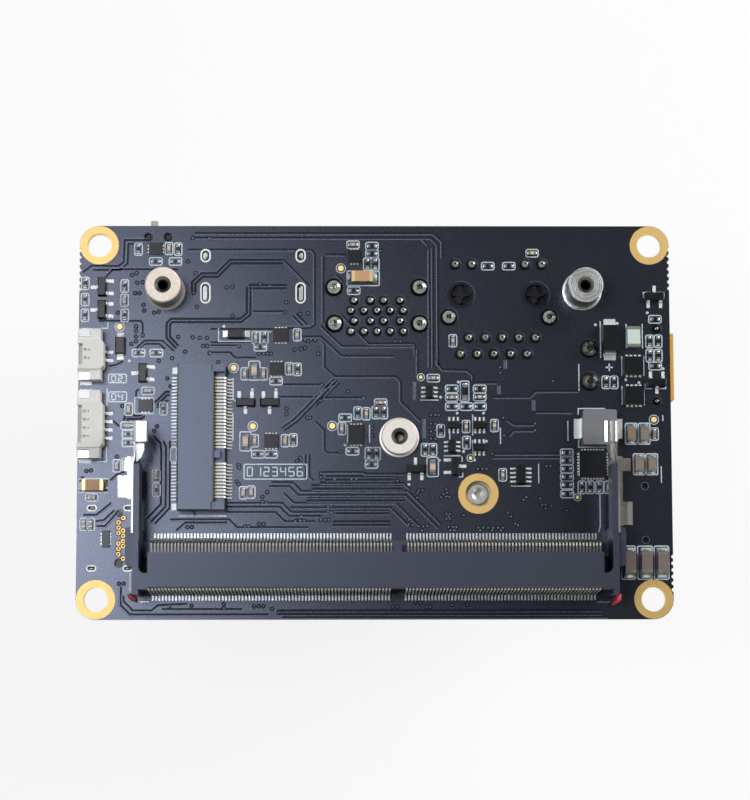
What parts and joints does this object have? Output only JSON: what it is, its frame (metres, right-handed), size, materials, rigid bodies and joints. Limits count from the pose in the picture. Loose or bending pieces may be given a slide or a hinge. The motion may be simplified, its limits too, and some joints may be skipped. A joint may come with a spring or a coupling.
{
  "type": "compute module carrier board",
  "caption": "Black carrier board with an edge-connector socket for a compute module, card sockets, wire headers, standoffs and ports on its underside.",
  "frame": {"origin": "middle of the four corner holes, on the face of the board that carries the module socket", "axes": "+Z out of that face; +X along the board's length, with the wire headers at -X and the power inlet at +X; +Y towards the edge that the tall ports open at"},
  "size_m": [0.0909, 0.0612, 0.0264],
  "materials": {
    "solder_mask": "satin black solder mask over glass-epoxy laminate",
    "immersion_gold": "gold-plated copper",
    "solder": "reflowed tin solder",
    "socket_nylon": "glass-filled black nylon",
    "contact_alloy": "plated copper alloy",
    "latch_steel": "bright stamped steel",
    "matte_tin": "matte tin plating",
    "turned_nickel": "turned and tin-plated",
    "card_socket_resin": "black liquid-crystal polymer",
    "card_contact_alloy": "plated copper alloy",
    "beige_nylon": "natural nylon",
    "tinned_leads": "tinned metal",
    "shield_steel": "nickel-plated sheet",
    "black_resin": "black moulded resin",
    "blue_resin": "blue moulded resin",
    "yellow_nylon": "yellow nylon",
    "gold_pins": "gold-plated brass",
    "lamp_lens": "clouded moulded lens",
    "knob_nylon": "grey nylon",
    "pressed_ferrite": "pressed iron-powder composite",
    "moulded_epoxy": "moulded epoxy",
    "resistor_glaze": "black glaze over alumina",
    "tan_ceramic": "fired ceramic",
    "brown_ceramic": "fired ceramic",
    "pale_ceramic": "fired ceramic"
  },
  "bodies": {
    "carrier": {"board": "solder_mask", "plated_lands": "immersion_gold", "test_points": "immersion_gold", "slot_lands": "solder", "solder_joints": "solder", "module_socket_housing": "socket_nylon", "module_socket_front_contacts": "contact_alloy", "module_socket_rear_contacts": "contact_alloy", "module_latch_left": "latch_steel", "module_latch_right": "latch_steel", "module_standoff_left": "matte_tin", "module_standoff_right": "turned_nickel", "card_standoff": "turned_nickel", "drive_standoff": "turned_nickel", "card_socket_housing": "card_socket_resin", "card_socket_contacts": "card_contact_alloy", "drive_socket_housing": "card_socket_resin", "drive_socket_contacts": "card_contact_alloy", "fan_header_housing": "beige_nylon", "fan_header_pins": "tinned_leads", "clock_header_housing": "beige_nylon", "clock_header_pins": "tinned_leads", "video_port_shell": "shield_steel", "video_port_tongue": "black_resin", "usb_stack_shell": "shield_steel", "usb_stack_body": "blue_resin", "usb_stack_pins": "tinned_leads", "network_jack_shell": "shield_steel", "network_jack_body": "black_resin", "network_jack_pins": "tinned_leads", "network_jack_springs": "gold_pins", "network_lamps": "lamp_lens", "usb_c_shell": "shield_steel", "usb_c_tongue": "black_resin", "port_contacts": "gold_pins", "memory_card_shell": "shield_steel", "memory_card_base": "black_resin", "power_inlet_body": "yellow_nylon", "power_inlet_pins": "gold_pins", "switch_cover": "shield_steel", "switch_base": "black_resin", "switch_terminals": "tinned_leads", "power_inductor": "pressed_ferrite", "inductor_terminals": "tinned_leads", "rectifier": "moulded_epoxy", "small_diodes": "moulded_epoxy", "diode_terminals": "tinned_leads", "power_transistors": "moulded_epoxy", "power_controller": "moulded_epoxy", "leadless_chips": "moulded_epoxy", "leadless_chip_pads": "solder", "transistors": "moulded_epoxy", "logic_chips": "moulded_epoxy", "chip_leads": "solder", "chip_resistors": "resistor_glaze", "small_capacitors": "tan_ceramic", "bulk_capacitors": "brown_ceramic", "surge_fuse": "pale_ceramic", "chip_end_caps": "solder"},
    "knob": {"switch_knob": "knob_nylon"}
  },
  "joints": [
    {"name": "switch_slide", "type": "slide", "parent": "carrier", "child": "knob", "axis": [1, 0, 0], "range_m": [0, 0.0015]}
  ]
}
